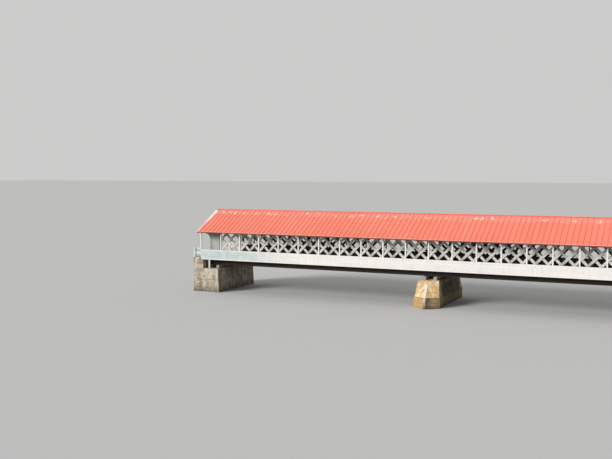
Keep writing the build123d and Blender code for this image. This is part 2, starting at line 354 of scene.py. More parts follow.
bareLook = {
    "dark": (0.052, 0.036, 0.026), "light": (0.215, 0.150, 0.102), "gap": (0.01, 0.008, 0.006),
    "axis": "x", "grain": (2.0, 34.0), "blotch": 1.1, "toneSwing": 0.0, "rough": 0.8, "relief": 0.002,
    "jointPitch": 0.0, "joint": 0.006,
}


def bareTimber(name, slotName, **changes):
    look = dict(bareLook, **changes)
    material, tree, place = newMaterial(name, slotName)
    grain = grained(tree, alongAxis(tree, place, look["axis"]), look["grain"])
    blotch = mottled(tree, place, look["blotch"])
    swing = minus(tree, boardTone(tree), 0.5)
    shade = weigh(tree, (grain, 0.5), (blotch, 0.5), (swing, look["toneSwing"]))
    colour = blendColour(tree, span(tree, shade, 0.05, 0.95), look["dark"], look["light"])
    if look["jointPitch"]:
        length = split(tree, place)[0]
        joints = use(tree, lineGroup, Position=length, Pitch=look["jointPitch"], Gap=look["joint"])
        colour = blendColour(tree, times(tree, joints["Line"], 0.8), colour, look["gap"])
    rough = span(tree, grain, 0, 1, look["rough"] + 0.08, look["rough"] - 0.06)
    return finishMaterial(material, colour, rough, grain, look["relief"])


whiteLook = {
    "paint": (0.945, 0.885, 0.835), "cool": (0.78, 0.785, 0.765), "shaded": (0.50, 0.605, 0.59),
    "grime": (0.36, 0.33, 0.28), "bare": (0.36, 0.29, 0.22), "dull": (0.86, 0.87, 0.86),
    "roofRed": (0.95, 0.43, 0.38),
    "grain": (2.2, 46.0), "clouds": 1.3, "specks": 6.5, "film": 2.6, "streaks": (9.0, 0.9),
    "blotch": 0.12, "soiled": 0.16, "peel": 0.35, "toneSwing": 0.0, "mildew": 0.0, "spilt": 0.0,
    "foot": (1.85, 2.0), "splash": 0.3,  # splashed fully at the first level, not at all at the second
    "mildewFrom": (-7.0, -11.5), "capHalf": (0.9, 1.7), "relief": 0.0012,
}


def whiteTimber(name, axis, **changes):
    look = dict(whiteLook, **changes)
    material, tree, place = newMaterial(name, "white_timber")
    x, y = split(tree, place)[:2]
    grain = grained(tree, alongAxis(tree, place, axis), look["grain"])
    cloud = mottled(tree, place, look["clouds"])
    specks = span(tree, mottled(tree, place, look["specks"]), 0.5, 0.9)
    colour = blendColour(tree, times(tree, cloud, 0.35), look["paint"], look["cool"])
    colour = blendColour(tree, times(tree, specks, look["blotch"]), colour, look["shaded"])
    if look["toneSwing"]:
        dull = blendColour(tree, 1.0, colour, look["dull"], "MULTIPLY")
        colour = blendColour(tree, times(tree, boardTone(tree), look["toneSwing"]), colour, dull)
    if look["mildew"]:
        # painted shade: the end is painted cool and mottled, partly a real mildew film and partly the shade
        # that falls on that end
        nearEnd = span(tree, x, *look["mildewFrom"], kind="SMOOTHSTEP")
        film = span(tree, mottled(tree, place, look["film"]), 0.1, 0.9, 0.5, 1.2)
        amount = times(tree, nearEnd, span(tree, y, 0.5, -0.5), film, look["mildew"])
        colour = blendColour(tree, amount, colour, look["shaded"])
    if look["spilt"]:
        # the lower half of the rake boards' caps is coloured red, the upper half stays white
        lying = span(tree, facing(tree)[2], 0.6, 0.8)
        lowHalf = span(tree, absolute(tree, y), *look["capHalf"])
        colour = blendColour(tree, times(tree, lying, lowHalf, look["spilt"]), colour, look["roofRed"])
    runs = streaked(tree, place, look["streaks"])
    foot = fadedUp(tree, place, *look["foot"])
    flaked = span(tree, times(tree, grain, cloud), 0.72, 0.86)
    colour = layCoats(tree, colour, (times(tree, runs, look["soiled"]), look["grime"]),
                      (times(tree, foot, cloud, look["splash"]), look["grime"]),
                      (times(tree, flaked, look["peel"]), look["bare"]))
    return finishMaterial(material, colour, span(tree, cloud, 0, 1, 0.5, 0.72), grain, look["relief"])


latticeLook = {
    "paint": (0.76, 0.75, 0.705), "worn": (0.56, 0.545, 0.49),
    "dark": (0.046, 0.033, 0.024), "brown": (0.16, 0.114, 0.080),
    "grain": (2.4, 36.0), "clouds": 2.2, "outerEdge": 0.014, "otherLayer": 31.0, "relief": 0.0015,
}


def latticeTimber(name, **changes):
    # painted on the weather side, bare on the road side, with the grain along each layer's planks
    look = dict(latticeLook, **changes)
    material, tree, place = newMaterial(name, "white_timber")
    x, y, z = split(tree, place)
    outward = absolute(tree, y)
    outer = work(tree, "GREATER_THAN", outward, bridge["trussOffset"])
    inner = minus(tree, 1.0, outer)
    rising, falling = plus(tree, x, z), minus(tree, x, z)
    along = weigh(tree, (outer, rising), (inner, falling))
    across = weigh(tree, (outer, falling), (inner, rising))
    grain = grained(tree, join(tree, along, across, y), look["grain"])
    shifted = plus(tree, across, times(tree, outer, look["otherLayer"]))
    plank = use(tree, lineGroup, Position=shifted, Pitch=bridge["latticePitch"], Gap=0.001)["Tone"]
    cloud = mottled(tree, place, look["clouds"])
    toFront = facing(tree)[1]
    away = times(tree, toFront, work(tree, "SIGN", y))
    edges = minus(tree, 1.0, span(tree, absolute(tree, toFront), 0.4, 0.6))
    outermost = work(tree, "GREATER_THAN", outward, bridge["trussOffset"] + look["outerEdge"])
    painted = work(tree, "MAXIMUM", span(tree, away, 0.4, 0.6), times(tree, edges, outermost))
    white = blendColour(tree, weigh(tree, (plank, 0.35), (cloud, 0.3)), look["paint"], look["worn"])
    flaked = span(tree, times(tree, grain, cloud), 0.66, 0.84, 0.0, 0.45)
    white = blendColour(tree, flaked, white, look["brown"])
    bare = blendColour(tree, times(tree, plus(tree, grain, plank), 0.5), look["dark"], look["brown"])
    return finishMaterial(material, blendColour(tree, painted, bare, white),
                          span(tree, cloud, 0, 1, 0.55, 0.78), grain, look["relief"])


roofLook = {
    "red": (0.99, 0.224, 0.140), "faded": (0.995, 0.308, 0.218), "dull": (0.84, 0.205, 0.137),
    "dirt": (0.50, 0.11, 0.07), "pale": (0.97, 0.90, 0.86), "chalk": (0.99, 0.42, 0.31),
    "clouds": 0.55, "specks": 9.0, "runs": (0.6, 7.0), "fineRuns": (1.6, 26.0), "seamDirt": 0.040,
    "dulled": (1.3, 2.45), "chalked": (0.66, 0.38), "bareTop": (0.15, 0.26), "dabs": (3.4, 3.0),
    "nearRake": (13.34, 13.49), "bleached": (1.5, 1.0), "dents": 2.4, "relief": 0.012,
}


def roofMetal(name, patches=False, **changes):
    look = dict(roofLook, **changes)
    material, tree, place = newMaterial(name, "roof_metal")
    x, y = split(tree, place)[:2]
    down = absolute(tree, y)
    downSlope = alongAxis(tree, place, "y")
    lines = use(tree, lineGroup, Position=x, Pitch=bridge["seamPitch"], Gap=look["seamDirt"])
    runs = grained(tree, downSlope, look["runs"])
    fineRuns = grained(tree, downSlope, look["fineRuns"])
    fade = weigh(tree, (mottled(tree, place, look["clouds"]), 0.45), (lines["Tone"], 0.35))
    washed = times(tree, minus(tree, plus(tree, runs, fineRuns), 1.0), 0.4)
    colour = blendColour(tree, plus(tree, fade, washed), look["red"], look["faded"])
    specks = span(tree, mottled(tree, place, look["specks"]), 0.62, 1.0, 0.0, 0.3)
    # darker towards the eave, patchy along the runs
    soot = times(tree, span(tree, down, *look["dulled"], 0.0, 0.36), span(tree, runs, 0.0, 1.0, 0.45, 1.0))
    dirt = times(tree, lines["Line"], span(tree, runs, 0.0, 1.0, 0.02, 0.14))
    colour = layCoats(tree, colour, (specks, look["dull"]), (soot, look["dull"]), (dirt, look["dirt"]))
    if patches:
        # the top has chalked, the pans beside the rake caps are pale near the top, and sealant is dabbed on
        nearRidge = times(tree, span(tree, down, *look["chalked"]), span(tree, down, *look["bareTop"]))
        outward = absolute(tree, x)
        nearRake = times(tree, span(tree, outward, *look["nearRake"]), span(tree, down, *look["bleached"]))
        spread = join(tree, times(tree, x, look["dabs"][0]), times(tree, down, look["dabs"][1]))
        dabs = times(tree, span(tree, addNoise(tree, spread, 1.3, 2.0, 0.5), 0.60, 0.66), nearRidge)
        colour = layCoats(tree, colour, (times(tree, nearRidge, 0.28), look["chalk"]),
                          (times(tree, nearRake, 0.6), look["pale"]),
                          (times(tree, dabs, 0.95), look["pale"]))
    dents = addNoise(tree, place, look["dents"], 1.0, 0.4)
    return finishMaterial(material, colour, span(tree, runs, 0, 1, 0.42, 0.6), dents, look["relief"], 0.6)


pierLook = {
    "warm": (0.96, 0.61, 0.25), "tan": (0.66, 0.43, 0.19), "pale": (0.96, 0.86, 0.64),
    "brown": (0.26, 0.19, 0.09), "stain": (0.045, 0.045, 0.030), "dried": None, "run": None,
    "clouds": 1.6, "grit": 14.0, "patch": 3.0, "flatten": 0.38, "runs": (7.5, 0.8), "seeps": (4.5, 0.7),
    "patches": 0.9, "streaks": 0.85, "toneSwing": 0.0, "shelter": 1.0, "relief": 0.012,
    "foot": (0.36, 0.62),  # damp up to the first level and dry from the second
    "joints": 0.2, "joint": 0.014, "stone": 0.62, "course": 0.2667,
    "driedSide": (-0.3, -0.5), "driedPast": (-1.2, -1.6), "underNose": (0.085, 0.06), "runFrom": (0.15, 0.5),
    "besideNose": (0.42, 0.22), "rightOfNose": (0.0, 0.07), "flank": (0.8, 0.95), "underDeck": (2.3, 1.5),
}
wallLook = dict(pierLook, warm=(0.60, 0.50, 0.37), tan=(0.30, 0.245, 0.18), pale=(0.66, 0.60, 0.50),
                brown=(0.15, 0.115, 0.08), stain=(0.09, 0.08, 0.055),
                toneSwing=0.55, joints=0.0, shelter=0.0)


def masonry(name, slotName, base, **changes):
    look = dict(base, **changes)
    material, tree, place = newMaterial(name, slotName)
    x, y, z = split(tree, place)
    cloud = mottled(tree, place, look["clouds"])
    grit = mottled(tree, place, look["grit"])
    swing = minus(tree, boardTone(tree), 0.5)
    shade = weigh(tree, (cloud, 0.75), (grit, 0.3), (swing, look["toneSwing"]))
    colour = blendColour(tree, span(tree, shade, 0.1, 0.95), look["tan"], look["warm"])
    # long patches and streaks where rain has run and dried
    patch = mottled(tree, stretch(tree, place, 1.0, 1.0, look["flatten"]), look["patch"])
    dark = times(tree, span(tree, patch, 0.40, 0.12), look["patches"] * 0.5)
    light = times(tree, span(tree, patch, 0.56, 0.72), look["patches"])
    runs = times(tree, streaked(tree, place, look["runs"]), look["streaks"])
    aside = put(tree, "VectorMath", {0: place, 1: (3.7, 5.1, 1.3)}).outputs[0]
    seeps = times(tree, streaked(tree, aside, look["seeps"]), look["streaks"] * 0.8)
    damp = times(tree, fadedUp(tree, place, *look["foot"]), span(tree, cloud, 0.0, 1.0, 0.5, 1.0))
    colour = layCoats(tree, colour, (dark, look["brown"]), (light, look["pale"]), (runs, look["pale"]),
                      (seeps, look["brown"]), (damp, look["stain"]))
    if look["dried"]:
        # painted sunlight: the side that faces the sun is painted a brighter orange, partly dry stone and
        # partly the light that falls on it
        dry = times(tree, span(tree, facing(tree)[0], *look["driedSide"]),
                    span(tree, y, *look["driedPast"]), span(tree, cloud, 0.0, 1.0, 0.35, 0.85))
        colour = blendColour(tree, dry, colour, look["dried"])
    if look["run"]:
        # a pale run under the nosing, and a darker patch beside it on its right
        fromNose = absolute(tree, x)
        beside = times(tree, span(tree, fromNose, *look["besideNose"]),
                       span(tree, x, *look["rightOfNose"]), span(tree, cloud, 0.0, 1.0, 0.95, 0.45))
        under = times(tree, span(tree, fromNose, *look["underNose"]), span(tree, z, *look["runFrom"]), 0.85)
        colour = layCoats(tree, colour, (beside, look["brown"]), (under, look["run"]))
    if look["shelter"]:
        # painted shade: the flanks under the bridge are stained dark for the shade they stand in, with some
        # damp
        flank = span(tree, absolute(tree, facing(tree)[0]), *look["flank"])
        wet = times(tree, flank, span(tree, absolute(tree, y), *look["underDeck"]),
                    span(tree, cloud, 0.0, 1.0, look["shelter"], look["shelter"] * 0.7))
        colour = blendColour(tree, wet, colour, look["stain"])
    height = plus(tree, cloud, times(tree, grit, 0.35))
    if look["joints"]:
        bricks = put(tree, "TexBrick", {"Vector": join(tree, y, z), "Scale": 1.0,
                                        "Mortar Size": look["joint"], "Mortar Smooth": 0.6,
                                        "Brick Width": look["stone"], "Row Height": look["course"]})
        bricks = bricks.outputs["Fac"]
        colour = blendColour(tree, times(tree, bricks, look["joints"]), colour, look["brown"])
        height = minus(tree, height, times(tree, bricks, 0.8))
    return finishMaterial(material, colour, span(tree, grit, 0, 1, 0.95, 0.75), height, look["relief"])


steelLook = {"paint": (0.90, 0.82, 0.74), "worn": (0.70, 0.66, 0.60), "rust": (0.32, 0.13, 0.05),
             "clouds": 5.0, "streaks": (26.0, 2.0), "rusted": 0.6, "relief": 0.002}


def nosingSteel():
    material, tree, place = newMaterial("nosing_steel", "nosing_steel")
    cloud = mottled(tree, place, steelLook["clouds"])
    rust = times(tree, streaked(tree, place, steelLook["streaks"]), cloud)
    colour = blendColour(tree, cloud, steelLook["paint"], steelLook["worn"])
    colour = blendColour(tree, times(tree, rust, steelLook["rusted"]), colour, steelLook["rust"])
    return finishMaterial(material, colour, span(tree, rust, 0, 1, 0.42, 0.85), rust, steelLook["relief"])


postWhite = whiteTimber("post_white", "z", foot=(1.85, 2.1), splash=0.5)
railWhite = whiteTimber("rail_white", "x", mildew=0.5)
rakeWhite = whiteTimber("rake_white", "y", splash=0.0, spilt=0.75,
                        paint=(0.99, 0.95, 0.90), cool=(0.90, 0.86, 0.82))
skirtWhite = whiteTimber("skirt_white", "x", foot=(1.83, 2.05), splash=0.2, toneSwing=0.45, mildew=0.95)
footWhite = whiteTimber("foot_white", "x", foot=(1.80, 1.83), splash=0.0, mildew=0.3)
approachWhite = whiteTimber("approach_white", "x", mildew=0.8)
# painted shade: the truss-end panels are a darker grey than the other white timber, for worn paint and for
# the eave's shade on them
endWhite = whiteTimber("end_white", "z", foot=(1.9, 2.5), splash=0.7, toneSwing=1.0, mildew=0.4,
                       paint=(0.57, 0.56, 0.52), cool=(0.46, 0.48, 0.46), shaded=(0.36, 0.41, 0.39))
gableWhite = whiteTimber("gable_white", "z", foot=(1.9, 2.5), splash=0.7, toneSwing=1.0, mildew=0.3)
lattice = latticeTimber("lattice_timber")
pinWhite = latticeTimber("pin_timber", paint=(0.50, 0.48, 0.43), worn=(0.30, 0.27, 0.22))
oldTimber = bareTimber("old_timber", "old_timber")
crossTimber = bareTimber("cross_timber", "old_timber", axis="y")
# painted shade: the lower chords are painted near black, far darker than the other bare timber, for the
# shade under the skirts
chordTimber = bareTimber("chord_timber", "old_timber", dark=(0.010, 0.006, 0.005),
                         light=(0.048, 0.028, 0.023), jointPitch=1.8288)
skirtInside = bareTimber("skirt_inside", "white_timber", dark=(0.06, 0.048, 0.038),
                         light=(0.15, 0.128, 0.105), toneSwing=0.5)
bedTimber = bareTimber("bed_timber", "bed_timber", axis="y", dark=(0.22, 0.215, 0.20),
                       light=(0.54, 0.545, 0.52), toneSwing=0.3)
roadPlanks = bareTimber("road_planks", "deck_timber", axis="y", dark=(0.15, 0.12, 0.09),
                        light=(0.44, 0.37, 0.29), toneSwing=0.8)
walkPlanks = bareTimber("walk_planks", "deck_timber", dark=(0.17, 0.14, 0.11),
                        light=(0.46, 0.40, 0.33), toneSwing=0.8)
eaveTimber = bareTimber("eave_timber", "eave_timber", dark=(0.075, 0.022, 0.016), light=(0.25, 0.075, 0.05))
rafterTimber = bareTimber("rafter_timber", "roof_timber", axis="y", dark=(0.09, 0.058, 0.035),
                          light=(0.27, 0.185, 0.115))
boardTimber = bareTimber("board_timber", "roof_timber", dark=(0.09, 0.06, 0.038),
                         light=(0.29, 0.20, 0.125), toneSwing=0.7)
roofRed = roofMetal("roof_red", patches=True)
ridgeRed = roofMetal("ridge_red", red=(0.95, 0.14, 0.10), faded=(0.98, 0.205, 0.15))
roofPale = roofMetal("roof_pale_edge", red=(0.97, 0.34, 0.25), faded=(0.97, 0.48, 0.38))
pierStone = masonry("pier_stone", "pier_stone", pierLook)
baseStone = masonry("base_stone", "base_stone", pierLook, warm=(0.54, 0.375, 0.18), tan=(0.30, 0.205, 0.10),
                    pale=(0.60, 0.47, 0.29), brown=(0.09, 0.065, 0.04), stain=(0.07, 0.06, 0.038),
                    dried=(0.68, 0.43, 0.13), run=(0.72, 0.62, 0.60),
                    joints=0.3, foot=(0.0, 0.25), streaks=0.4, shelter=0.55)
wallStone = masonry("wall_stone", "abutment_stone", wallLook, foot=(0.0, 0.5), streaks=0.3)
coreStone = masonry("core_stone", "abutment_stone", wallLook, warm=(0.17, 0.14, 0.11),
                    tan=(0.08, 0.065, 0.05), foot=(0.0, 0.3), streaks=0.1)
gravel = masonry("gravel", "abutment_stone", wallLook, warm=(0.44, 0.38, 0.30),
                 tan=(0.20, 0.17, 0.13), foot=(0.0, 0.01), streaks=0.0)
steel = nosingSteel()
print("materials ready")

# CAD nodes that keep their own mesh, where it isn't plain old timber
keptNodes = {
    "front_metal_roof": roofRed, "back_metal_roof": roofRed, "ridge_cap": ridgeRed,
    "front_lattice": lattice, "back_lattice": lattice,
    "front_lower_chords": chordTimber, "back_lower_chords": chordTimber, "floor_beams": crossTimber,
    "front_rafters": rafterTimber, "back_rafters": rafterTimber,
    "front_eave_plate": railWhite, "back_eave_plate": railWhite, "fascias": eaveTimber,
}
for node in nodes.values():
    node.data.materials.clear()
    node.data.materials.append(keptNodes.get(node.name, oldTimber))

# CAD timbers shown with eased edges
easedNodes = {
    "front_posts": (postWhite, 0.004), "back_posts": (postWhite, 0.004),
    "front_handrail": (railWhite, 0.003), "back_handrail": (railWhite, 0.003),
    "left_barge_boards": (rakeWhite, 0.003), "right_barge_boards": (rakeWhite, 0.003),
    "sidewalk_props": (postWhite, 0.005), "approach_rails": (approachWhite, 0.005),
    "tie_beams": (crossTimber, 0.005), "knee_braces": (crossTimber, 0.004),
    "bed_timbers": (bedTimber, 0.009), "pier_nosings": (steel, 0.004),
}
for node, (material, ease) in easedNodes.items():
    bm = mergedCopy(node)
    easeEdges(bm, ease)
    makePiece(node + "_eased", bm, material, [node])
print("frame timbers dressed")

# Skirts: courses of long boards between the foot board and the rail's apron
skirtBoards = {"courses": 4, "joint": 0.002, "length": 2.4384, "foot": 0.060, "footProud": 0.009,
               "ease": 0.0015}


def makeSkirt(sideName, side):
    low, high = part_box(sideName + "_skirt")
    inner, outer = sorted((abs(low.y), abs(high.y)))
    joint = skirtBoards["joint"]
    footTop = low.z + skirtBoards["foot"]
    step = (high.z - footTop) / skirtBoards["courses"]
    levels = [low.z] + [footTop + course * step for course in range(skirtBoards["courses"] + 1)]
    bm = newMesh()
    for course, (bottom, top) in enumerate(zip(levels, levels[1:])):
        face = outer - skirtBoards["footProud"] if course else outer
        for x0, x1 in boardRuns(low.x, high.x, skirtBoards["length"], course, shortest=joint):
            addBlock(bm, (x0, side * inner, bottom), (x1 - joint, side * face, top - joint))
    easeEdges(bm, skirtBoards["ease"])
    piece = makePiece(sideName + "_skirt_boards", bm, skirtWhite, [sideName + "_skirt"])
    piece.data.materials.append(skirtInside)
    piece.data.materials.append(footWhite)
    for face in piece.data.polygons:
        if face.normal.y * side < -0.5:
            face.material_index = 1
        elif face.center.z < footTop:
            face.material_index = 2


for sideName, side in sides.items():
    makeSkirt(sideName, side)
print("skirts boarded")

# Standing seams, drip edge and the closure strip under the ridge cap
seam = {"width": 0.010, "height": 0.018, "underCap": 0.003, "ease": 0.003}
drip = {"lip": 0.014, "top": 0.006, "thickness": 0.005, "proud": 0.002, "back": 0.030, "strip": 0.003,
        "ease": 0.001}
closure = {"under": 0.008, "proud": 0.010, "height": 0.006, "fromEnd": 0.112}


def makeSeams(sideName, side):
    first = -(bridge["seamCount"] - 1) / 2 * bridge["seamPitch"]
    bm = newMesh()
    addBlock(bm, (first - seam["width"] / 2, capReach + seam["underCap"], -bridge["letIn"]),
             (first + seam["width"] / 2, slopeLength - bridge["letIn"], seam["height"]), onSlope(side), 0.5)
    easeEdges(bm, seam["ease"], 2)
    piece = makePiece(sideName + "_seams", bm, roofRed)
    repeatAlong(piece, bridge["seamCount"], bridge["seamPitch"])


def makeDrip(sideName, side):
    bm = newMesh()
    addBlock(bm, (roofLow.x, side * (-roofLow.y - drip["thickness"]), roofLow.z - drip["lip"]),
             (roofHigh.x, side * (-roofLow.y + drip["proud"]), roofLow.z + drip["top"]))
    addBlock(bm, (roofLow.x, slopeLength - drip["back"], -bridge["letIn"]),
             (roofHigh.x, slopeLength + bridge["letIn"], drip["strip"]), onSlope(side))
    easeEdges(bm, drip["ease"])
    makePiece(sideName + "_drip_edge", bm, roofPale)
    bm = newMesh()
    inset = closure["fromEnd"]
    addBlock(bm, (roofLow.x + inset, capReach - closure["under"], -bridge["letIn"]),
             (roofHigh.x - inset, capReach + closure["proud"], closure["height"]), onSlope(side))
    makePiece(sideName + "_ridge_closure", bm, roofPale)


for sideName, side in sides.items():
    makeSeams(sideName, side)
    makeDrip(sideName, side)
print("roof seamed")

# Roof boards under the metal, seen from below
sheathing = {"width": 0.148, "length": 2.4384, "thickness": 0.012, "joint": 0.004, "ease": 0.0015,
             "metal": 0.006, "clear": 0.0005}


def makeSheathing(sideName, side):
    low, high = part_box(sideName + "_roof_boards")
    joint, metal, thickness = sheathing["joint"], sheathing["metal"], sheathing["thickness"]
    reach = max(abs(low.y), abs(high.y)) / math.cos(pitchAngle) - thickness * math.tan(pitchAngle)
    rows = math.floor(reach / sheathing["width"])
    step = reach / rows
    bm = newMesh()
    for row in range(rows):
        for x0, x1 in boardRuns(low.x, high.x, sheathing["length"], row):
            addBlock(bm, (x0, row * step, -metal - thickness),
                     (x1 - joint, (row + 1) * step - joint, -metal - sheathing["clear"]), onSlope(side))
    easeEdges(bm, sheathing["ease"])
    makePiece(sideName + "_sheathing", bm, boardTimber, [sideName + "_roof_boards"])


for sideName, side in sides.items():
    makeSheathing(sideName, side)
print("roof boarded")

# Road and footway planks
roadway = {"plank": 0.098, "gap": 0.004, "ragged": 0.002, "ease": 0.003}
footway = {"rows": 3, "length": 1.8288, "gap": 0.005, "ragged": 0.0015, "ease": 0.002}


def makeRoad():
    bm = newMesh()
    count = round((deckHigh.x - deckLow.x) / roadway["plank"])
    step = (deckHigh.x - deckLow.x) / count
    for number in range(count):
        x0 = deckLow.x + number * step
        short = chance.uniform(0, roadway["ragged"])
        drop = chance.uniform(0, roadway["ragged"])
        addBlock(bm, (x0, deckLow.y + short, deckLow.z),
                 (x0 + step - roadway["gap"], deckHigh.y - short, deckHigh.z - drop))
    easeEdges(bm, roadway["ease"])
    makePiece("road_planks", bm, roadPlanks, ["road_deck"])


def makeFootway(sideName):
    low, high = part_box(sideName + "_sidewalk_deck")
    step = (high.y - low.y) / footway["rows"]
    bm = newMesh()
    for row in range(footway["rows"]):
        for x0, x1 in boardRuns(low.x, high.x, footway["length"], row, turns=3):
            drop = chance.uniform(0, footway["ragged"])
            addBlock(bm, (x0, low.y + row * step, low.z),
                     (x1 - footway["gap"], low.y + (row + 1) * step - footway["gap"], high.z - drop))
    easeEdges(bm, footway["ease"])
    makePiece(sideName + "_footway_planks", bm, walkPlanks, [sideName + "_sidewalk_deck"])


makeRoad()
for sideName in sides:
    makeFootway(sideName)
print("decks planked")

# Wooden pins at every crossing of the lattice, through the chords where they cover it
pins = {
    "radius": 0.0115, "proud": 0.005, "apart": 0.030, "raised": 0.012, "segments": 8,
    "chordRows": (0, 1, 6), "braceRow": 5, "lastCrossing": 20, "firstRow": 0.072,
}


def makePins(parity, inChords):
    cover = bridge["chord"] if inChords else 0
    outside = bridge["trussOffset"] + bridge["plank"] + cover
    inside = bridge["trussOffset"] - bridge["plank"] - cover
    last = pins["lastCrossing"] + (0 if parity else 0.5)
    bm = newMesh()
    for row in range(parity, bridge["latticeRows"], 2):
        if (row in pins["chordRows"]) != inChords:
            continue
        level = chordTop - pins["firstRow"] + row * (bridge["latticePitch"] / 2)
        for side in (-1, 1):
            for face, way in ((outside, side), (inside, -side)):
                if row == pins["braceRow"] and way == -side:
                    continue  # the knee braces stand here
                for shift in (-1, 1):
                    centre = Vector((-last * bridge["latticePitch"] + shift * pins["apart"],
                                     side * face + way * (pins["proud"] / 2 - bridge["letIn"]),
                                     level + shift * pins["raised"]))
                    place = Matrix.Translation(centre) @ Matrix.Rotation(math.radians(90), 4, "X")
                    bmesh.ops.create_cone(bm, cap_ends=True, segments=pins["segments"],
                                          radius1=pins["radius"], radius2=pins["radius"],
                                          depth=pins["proud"] + 2 * bridge["letIn"], matrix=place)
    kind, material = ("chord", oldTimber) if inChords else ("lattice", pinWhite)
    piece = makePiece(f"{kind}_pins_{parity}", bm, material)
    repeatAlong(piece, int(2 * last) + 1, bridge["latticePitch"])


for parity in (0, 1):
    for inChords in (False, True):
        makePins(parity, inChords)
print("lattice pinned")

# Vertical boards on the gables and the truss ends
gableBoards = {"pitch": 0.150, "groove": 0.003}
endBoards = {"pitch": 0.105, "groove": 0.003}
casing = {"width": 0.075, "proud": 0.012, "rise": 0.265, "clear": 0.003, "segments": 72}


def boardedCopy(node, material, across, out, look):
    bm = mergedCopy(node)
    low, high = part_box(node)
    across = Vector(across)
    start, end = low.dot(across), high.dot(across)
    count = max(1, round((end - start) / look["pitch"]))
    for joint in range(1, count):
        cutThrough(bm, across * (start + (end - start) * joint / count), across, dist=1e-6)
    boards = [face for face in bm.faces if abs(face.normal.dot(Vector(out))) > 0.95]
    bmesh.ops.inset_individual(bm, faces=boards, thickness=look["groove"], depth=look["groove"],
                               use_even_offset=True)
    for face in boards:
        setTone(bm, [face], chance.random())
    makePiece(node + "_boards", bm, material, [node])


def makeCasing(node, end):
    # a flat casing round the portal's arch, bridged between two ellipses and cut at the springing
    low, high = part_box(node)
    wallFace = high.x if end > 0 else low.x
    halfSpan = deckHigh.y + casing["clear"]
    bm = newMesh()
    for grow in (0.0, casing["width"]):
        shape = Matrix.Diagonal((halfSpan + grow, casing["rise"] + grow, 1, 1))
        bmesh.ops.create_circle(bm, segments=casing["segments"], radius=1, matrix=shape)
    bmesh.ops.bridge_loops(bm, edges=bm.edges[:])
    cutThrough(bm, (0, 0, 0), (0, 1, 0), clear_inner=True)
    raised = bmesh.ops.extrude_face_region(bm, geom=bm.faces[:])
    tops = [part for part in raised["geom"] if isinstance(part, bmesh.types.BMVert)]
    bmesh.ops.translate(bm, verts=tops, vec=(0, 0, casing["proud"]))
    turn = Matrix(((0, 0, end, 0), (1, 0, 0, 0), (0, 1, 0, 0), (0, 0, 0, 1)))
    bmesh.ops.transform(bm, verts=bm.verts[:], matrix=Matrix.Translation((wallFace, 0, low.z)) @ turn)
    for side in (-1, 1):
        addBlock(bm, (wallFace, side * (halfSpan + casing["width"]), low.z),
                 (wallFace + end * casing["proud"], side * high.y, low.z + casing["width"]))
    makePiece(node + "_casing", bm, railWhite)


for endName, end in ends.items():
    boardedCopy(endName + "_gable", gableWhite, (0, 1, 0), (1, 0, 0), gableBoards)
    makeCasing(endName + "_gable", end)
    for sideName in sides:
        boardedCopy(f"{sideName}_{endName}_end_panel", endWhite, (1, 0, 0), (0, 1, 0), endBoards)
print("ends boarded")

# Corner boards on the truss ends, up to the foot of the flare
cornerBoards = {"width": 0.060, "proud": 0.009, "lap": 0.02, "pastWeb": 0.012, "foot": 0.04, "top": 1.150,
                "ease": 0.002}


def makeCorners():
    low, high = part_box("front_right_end_panel")
    inner, outer = sorted((abs(low.y), abs(high.y)))
    trussEnd = webEnd + cornerBoards["pastWeb"]
    lap, proud = cornerBoards["lap"], cornerBoards["proud"]
    foot, top = low.z + cornerBoards["foot"], skirtFoot + cornerBoards["top"]
    bm = newMesh()
    for end in (-1, 1):
        for side in (-1, 1):
            for y, way in ((outer, 1), (inner, -1)):
                addBlock(bm, (end * (trussEnd - cornerBoards["width"]), side * (y - way * lap), foot),
                         (end * (trussEnd + proud), side * (y + way * proud), top))
    easeEdges(bm, cornerBoards["ease"])
    makePiece("corner_boards", bm, railWhite)


makeCorners()

# Short sills that close the floor between the road and the footways past the truss ends
sills = {"pastWeb": 0.023, "clear": 0.003, "tone": 0.4, "ease": 0.004}


def makeSills():
    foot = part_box("road_stringers")[0].z
    start, clear = webEnd + sills["pastWeb"], sills["clear"]
    bm = newMesh()
    for end in (-1, 1):
        for side in (-1, 1):
            addBlock(bm, (end * start, side * (deckHigh.y + clear), foot),
                     (end * deckHigh.x, side * (-walkHigh.y - clear), deckHigh.z), tone=sills["tone"])
    easeEdges(bm, sills["ease"])
    makePiece("floor_sills", bm, roadPlanks)


makeSills()
print("corners and sills set")

# Stones: the pier's rough skin and the coursed facing of the abutments
stones = {
    "courses": (0.0, 0.25, 0.47, 0.72, 0.94, 1.16, 1.35), "short": 0.30, "long": 0.62, "firstCut": 0.6,
    "joint": 0.010, "setBack": (0.001, 0.008), "ease": 0.009, "rough": 0.003, "detail": 9, "core": 0.016,
    "quoin": 0.11, "depth": 0.05, "least": 0.001,
}
abutment = {
    "lean": 0.06, "wallFront": 13.3332, "approach": 13.5492, "wallCourse": 0.25,
    "seatCourses": (0.0, 0.33, 0.66, 0.978), "seatDepth": 0.03, "backCourses": (1.38, 1.62, 1.80),
    "gravelDepth": 0.03, "gravelIn": 0.012, "gravelEase": 0.008,
}
pierSkin = {"grid": 0.10, "detail": 3.2, "pierDepth": 0.014, "plinthDepth": 0.010, "flatEdge": 0.001}


